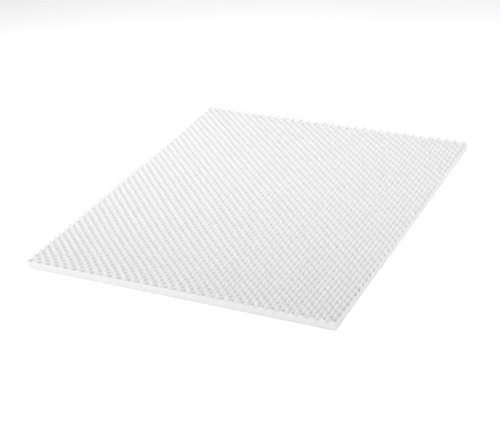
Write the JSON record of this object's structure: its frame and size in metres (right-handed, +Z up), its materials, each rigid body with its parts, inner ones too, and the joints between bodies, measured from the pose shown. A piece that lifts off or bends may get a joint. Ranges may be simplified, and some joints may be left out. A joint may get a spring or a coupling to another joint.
{
  "type": "mattress topper",
  "caption": "Rectangular foam mattress topper with an egg-crate top, straight trimmed sides and a flat underside.",
  "frame": {"origin": "middle of the flat underside, at the level of the surface that the topper lies on", "axes": "+X across the bed, +Y along the bed, +Z up out of the bumps"},
  "size_m": [1.6, 2, 0.06],
  "materials": {
    "foam": "matt, finely porous"
  },
  "bodies": {
    "root": {"foam_slab": "foam"}
  },
  "joints": []
}
